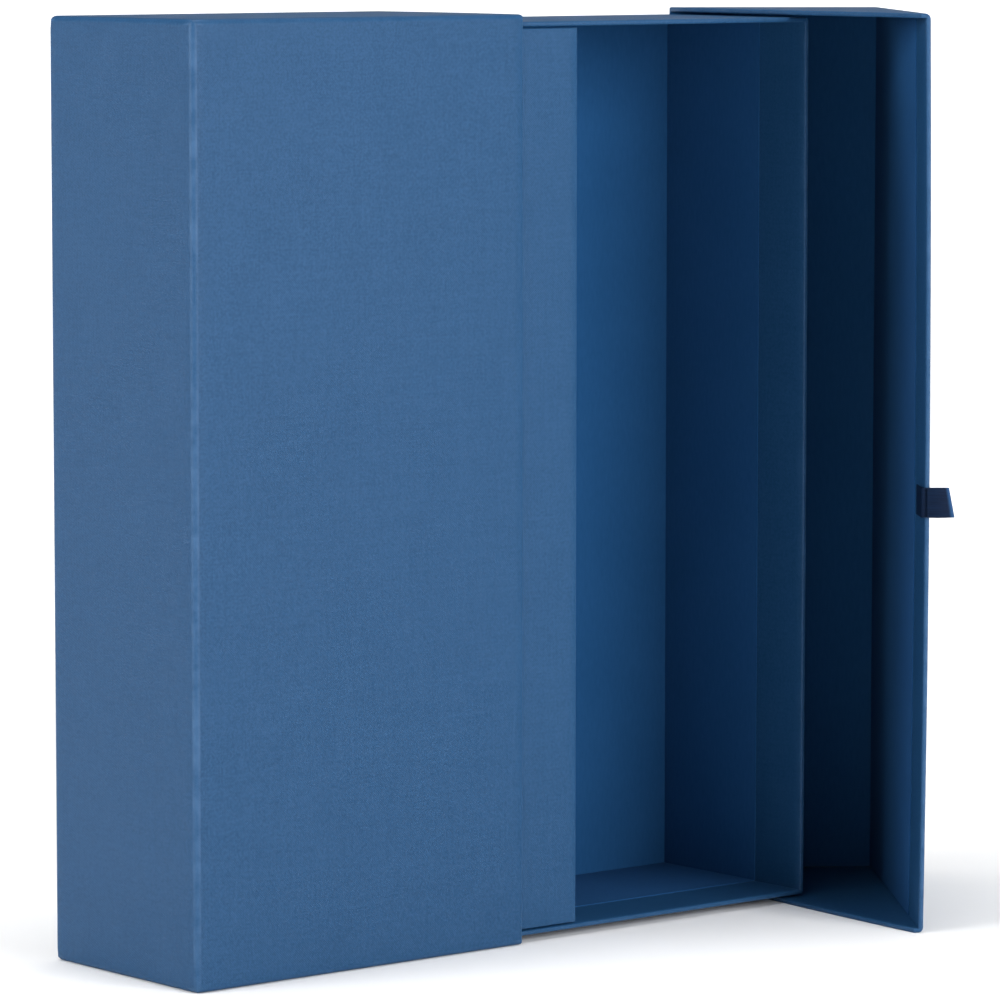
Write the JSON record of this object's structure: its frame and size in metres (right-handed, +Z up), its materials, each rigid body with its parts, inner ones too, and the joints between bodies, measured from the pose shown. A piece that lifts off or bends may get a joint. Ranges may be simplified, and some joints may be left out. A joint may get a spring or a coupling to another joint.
{
  "type": "document box",
  "caption": "Cloth-covered document box on its end: a fixed case and inner tray, with an L-shaped lid on a cloth hinge and a ribbon pull.",
  "frame": {"origin": "centre of the case's underside, where the box stands on its end", "axes": "+Z up, +X from the fixed case towards the lid, -Y out of the tray's open front"},
  "size_m": [0.3442, 0.1611, 0.325],
  "materials": {
    "book_cloth": "matt fine-grained blue book cloth on greyboard",
    "lining_paper": "matt uncoated blue lining paper",
    "hinge_cloth": "matt fine-grained blue book cloth, unbacked",
    "satin_ribbon": "navy satin ribbon with a soft sheen"
  },
  "bodies": {
    "box": {"case_spine_board": "book_cloth", "case_front_board": "book_cloth", "case_back_board": "book_cloth", "case_bottom_board": "book_cloth", "case_top_board": "book_cloth", "tray_back_board": "book_cloth", "tray_bottom_board": "book_cloth", "tray_top_board": "book_cloth", "tray_inner_end_board": "book_cloth", "tray_outer_end_board": "book_cloth", "tray_front_strip": "book_cloth", "tray_back_lining": "lining_paper", "tray_bottom_lining": "lining_paper", "tray_top_lining": "lining_paper", "tray_end_lining": "lining_paper", "hinge_cloth_tray_leaf": "hinge_cloth"},
    "lid": {"lid_end_board": "book_cloth", "lid_front_board": "book_cloth", "lid_bottom_gusset": "book_cloth", "lid_top_gusset": "book_cloth", "lid_end_lining": "lining_paper", "lid_front_lining": "lining_paper", "hinge_cloth_lid_leaf": "hinge_cloth", "pull_ribbon": "satin_ribbon"}
  },
  "joints": [
    {"name": "lid_hinge", "type": "hinge", "parent": "box", "child": "lid", "pos_m": [0.20785, 0.0384, 0], "axis": [0, 0, 1], "range_deg": [-54, 106]}
  ]
}
